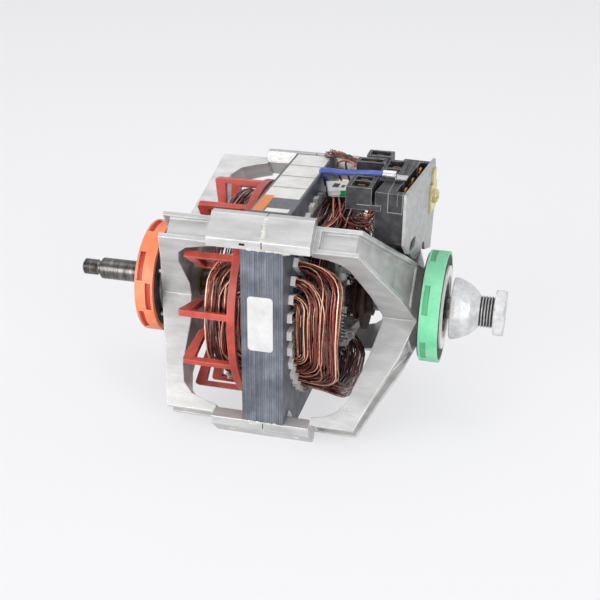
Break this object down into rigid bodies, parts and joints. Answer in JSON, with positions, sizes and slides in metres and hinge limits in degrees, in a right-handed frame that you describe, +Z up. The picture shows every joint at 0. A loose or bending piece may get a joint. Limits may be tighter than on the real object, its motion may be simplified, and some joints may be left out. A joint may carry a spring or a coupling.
{
  "type": "dryer motor",
  "caption": "Open split phase dryer motor with a belt pulley at one end, a threaded blower shaft at the other, coloured cradle rings and a switch on top.",
  "frame": {"origin": "on the shaft axis, midway along the pulley end cradle ring", "axes": "+X along the shaft towards the pulley, +Z up through the switch, +Y to the far side of the picture"},
  "size_m": [0.2483, 0.1296, 0.143],
  "materials": {
    "laminations": "satin, blued edges",
    "liner": "matt",
    "copper": "enamelled, glossy",
    "dark_copper": "enamelled and varnished",
    "coral_plastic": "satin",
    "cast_aluminium": "as cast",
    "epoxy": "glossy",
    "bronze": "sintered",
    "felt": "oiled",
    "plated_steel": "zinc plated",
    "orange_plastic": "moulded",
    "green_plastic": "moulded",
    "rubber": "matt",
    "black_plastic": "moulded",
    "brass": "bright",
    "zinc": "yellow zinc plated",
    "blue_insulation": "smooth",
    "white_plastic": "moulded",
    "label": "matt film",
    "shaft_steel": "ground, dark",
    "rotor_steel": "stacked laminations",
    "pulley_steel": "turned, plated",
    "spring_steel": "bright",
    "cream_plastic": "moulded"
  },
  "bodies": {
    "frame": {"stator_core": "laminations", "slot_liners": "liner", "top_main_winding": "copper", "near_main_winding": "copper", "bottom_main_winding": "copper", "far_main_winding": "copper", "top_start_winding": "dark_copper", "near_start_winding": "dark_copper", "bottom_start_winding": "dark_copper", "far_start_winding": "dark_copper", "winding_guard": "coral_plastic", "blower_end_bracket": "cast_aluminium", "pulley_end_bracket": "cast_aluminium", "epoxy_beads": "epoxy", "blower_end_bearing": "bronze", "pulley_end_bearing": "bronze", "blower_end_wick": "felt", "pulley_end_wick": "felt", "blower_end_cap": "plated_steel", "pulley_end_cap": "plated_steel", "blower_cradle_ring": "orange_plastic", "pulley_cradle_ring": "green_plastic", "blower_rubber_ring": "rubber", "pulley_rubber_ring": "rubber", "blower_sleeve": "plated_steel", "pulley_sleeve": "plated_steel", "switch_housing": "black_plastic", "switch_plate": "plated_steel", "switch_terminals": "brass", "contact_strips": "brass", "contact_spring": "brass", "lever_pin": "plated_steel", "ground_tab": "zinc", "ground_screw": "zinc", "blue_lead": "blue_insulation", "lead_terminal": "plated_steel", "thermal_protector": "white_plastic", "winding_leads": "dark_copper", "side_label": "label", "top_label": "label"},
    "rotor": {"shaft": "shaft_steel", "rotor_core": "rotor_steel", "rotor_cage": "cast_aluminium", "thrust_washers": "bronze", "belt_pulley": "pulley_steel", "actuator_plate": "plated_steel", "flyweight_pins": "plated_steel", "upper_spring": "spring_steel", "lower_spring": "spring_steel"},
    "spool": {"actuator_spool": "cream_plastic"},
    "upper_flyweight": {"upper_flyweight": "plated_steel"},
    "lower_flyweight": {"lower_flyweight": "plated_steel"},
    "lever": {"switch_lever": "cream_plastic"}
  },
  "joints": [
    {"name": "rotor_spin", "type": "hinge", "parent": "frame", "child": "rotor", "pos_m": [0, 0, 0], "axis": [1, 0, 0], "continuous": true},
    {"name": "upper_flyweight_swing", "type": "hinge", "parent": "rotor", "child": "upper_flyweight", "pos_m": [-0.04605, 0, 0.02], "axis": [0, 1, 0], "range_deg": [0, 21.5], "deforming": ["upper_spring"]},
    {"name": "lower_flyweight_swing", "type": "hinge", "parent": "rotor", "child": "lower_flyweight", "pos_m": [-0.04605, 0, -0.02], "axis": [0, -1, 0], "range_deg": [0, 21.5], "deforming": ["lower_spring"]},
    {"name": "spool_slide", "type": "slide", "parent": "rotor", "child": "spool", "axis": [-1, 0, 0], "range_m": [0, 0.0031]},
    {"name": "lever_swing", "type": "hinge", "parent": "frame", "child": "lever", "pos_m": [-0.0338, 0, 0.038], "axis": [0, 1, 0], "range_deg": [0, 6.8]}
  ],
  "couplings": [
    {"joint": "lower_flyweight_swing", "follows": "upper_flyweight_swing", "ratio": 1},
    {"joint": "spool_slide", "follows": "upper_flyweight_swing", "m_per_rad": 0.008213},
    {"joint": "lever_swing", "follows": "upper_flyweight_swing", "ratio": 0.316}
  ]
}
